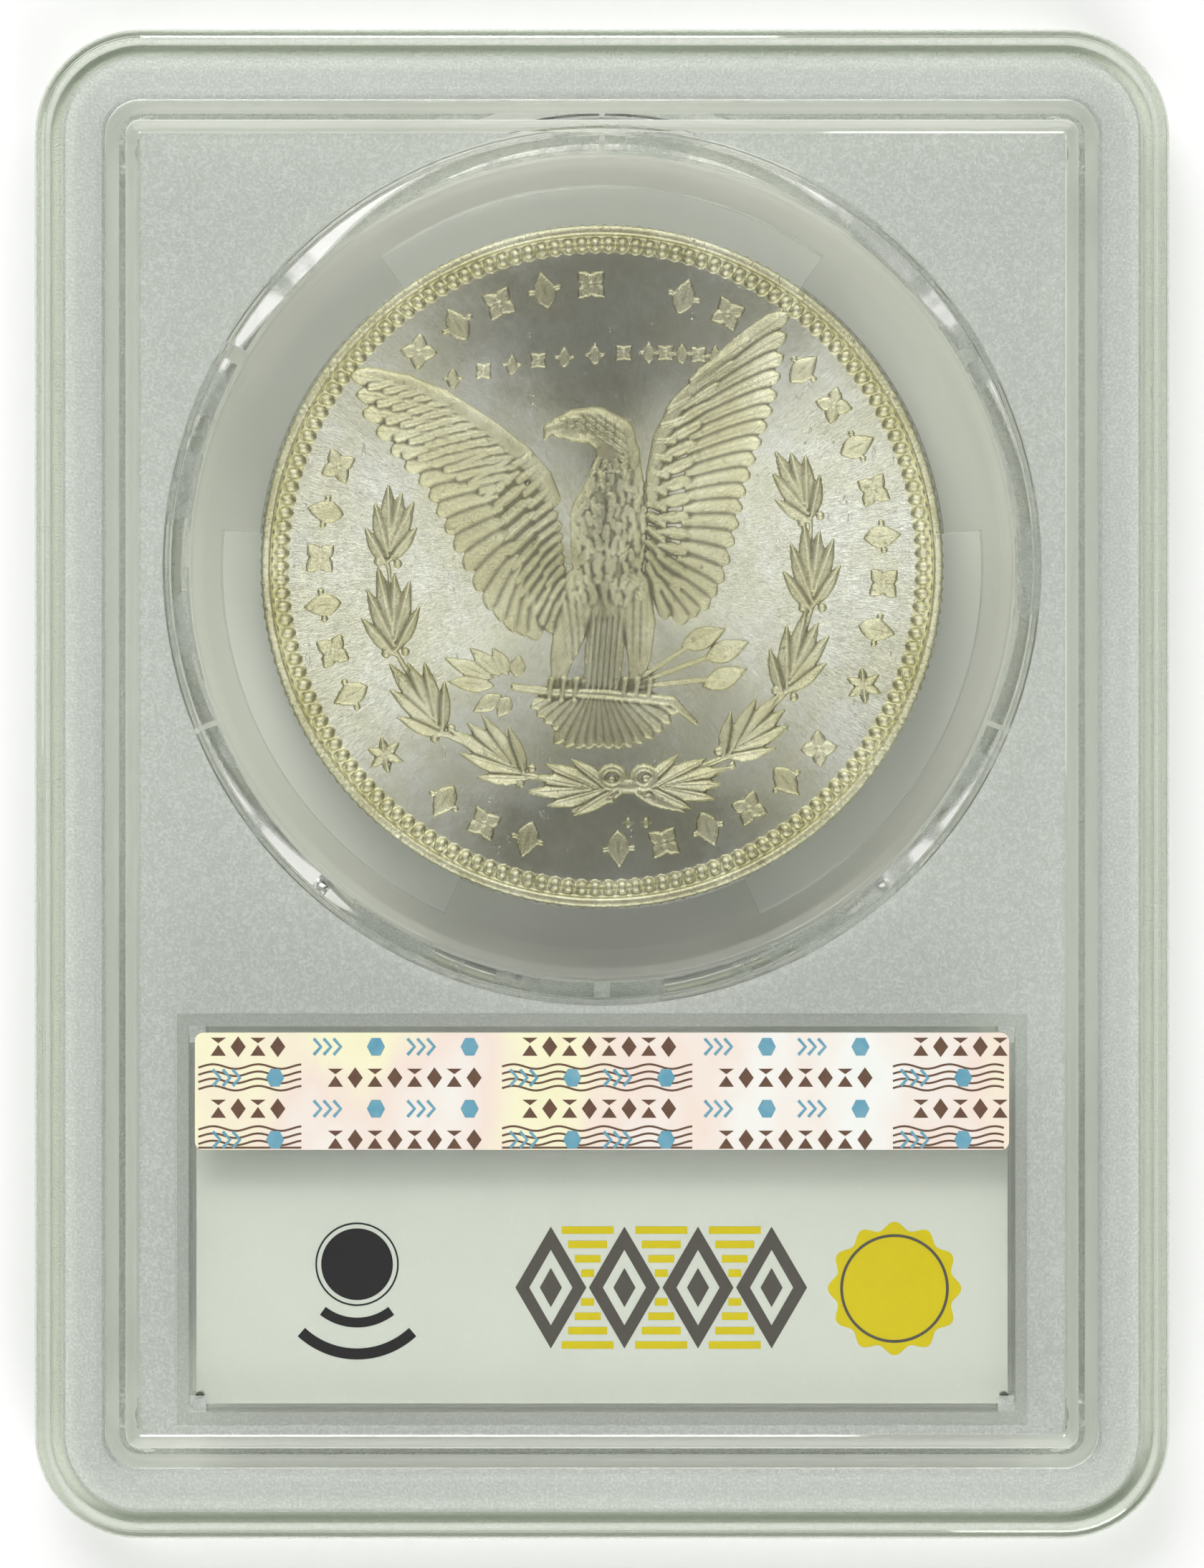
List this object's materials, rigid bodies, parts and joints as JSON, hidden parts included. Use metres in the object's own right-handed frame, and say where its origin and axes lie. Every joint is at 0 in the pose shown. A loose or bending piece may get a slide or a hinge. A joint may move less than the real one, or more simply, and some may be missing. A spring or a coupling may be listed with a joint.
{
  "type": "coin slab",
  "caption": "Sealed clear plastic slab that holds one coin in a keyed ring above a printed label, with rims that let slabs stack.",
  "frame": {"origin": "centre of the slab's outline, on the front half's stacking lip, where the slab lies on a table", "axes": "+Z through the thickness, out of the back face; +Y along the long side, from the label to the coin; +X across the slab"},
  "size_m": [0.063, 0.0838, 0.008],
  "materials": {
    "clear_plastic": "clear injection-moulded styrene, polished windows, spark-eroded field and ridge",
    "melted_plastic": "re-melted styrene along the weld",
    "ring_plastic": "clear moulded ring, satin pockets",
    "silver": "struck silver with a light warm tone, frosted relief and brilliant field",
    "label_paper": "satin synthetic label stock, offset print",
    "film": "thin polyester film",
    "antenna_foil": "etched aluminium foil",
    "chip": "bare die under a drop of epoxy",
    "adhesive": "transfer adhesive",
    "sticker_foil": "iridescent security foil"
  },
  "bodies": {
    "root": {"back_shell": "clear_plastic", "front_shell": "clear_plastic", "weld_seam": "melted_plastic", "coin_ring": "ring_plastic", "coin": "silver", "back_label": "label_paper", "front_label": "label_paper", "nfc_film": "film", "nfc_antenna": "antenna_foil", "nfc_chip": "chip", "label_adhesive": "adhesive", "security_sticker": "sticker_foil"}
  },
  "joints": []
}
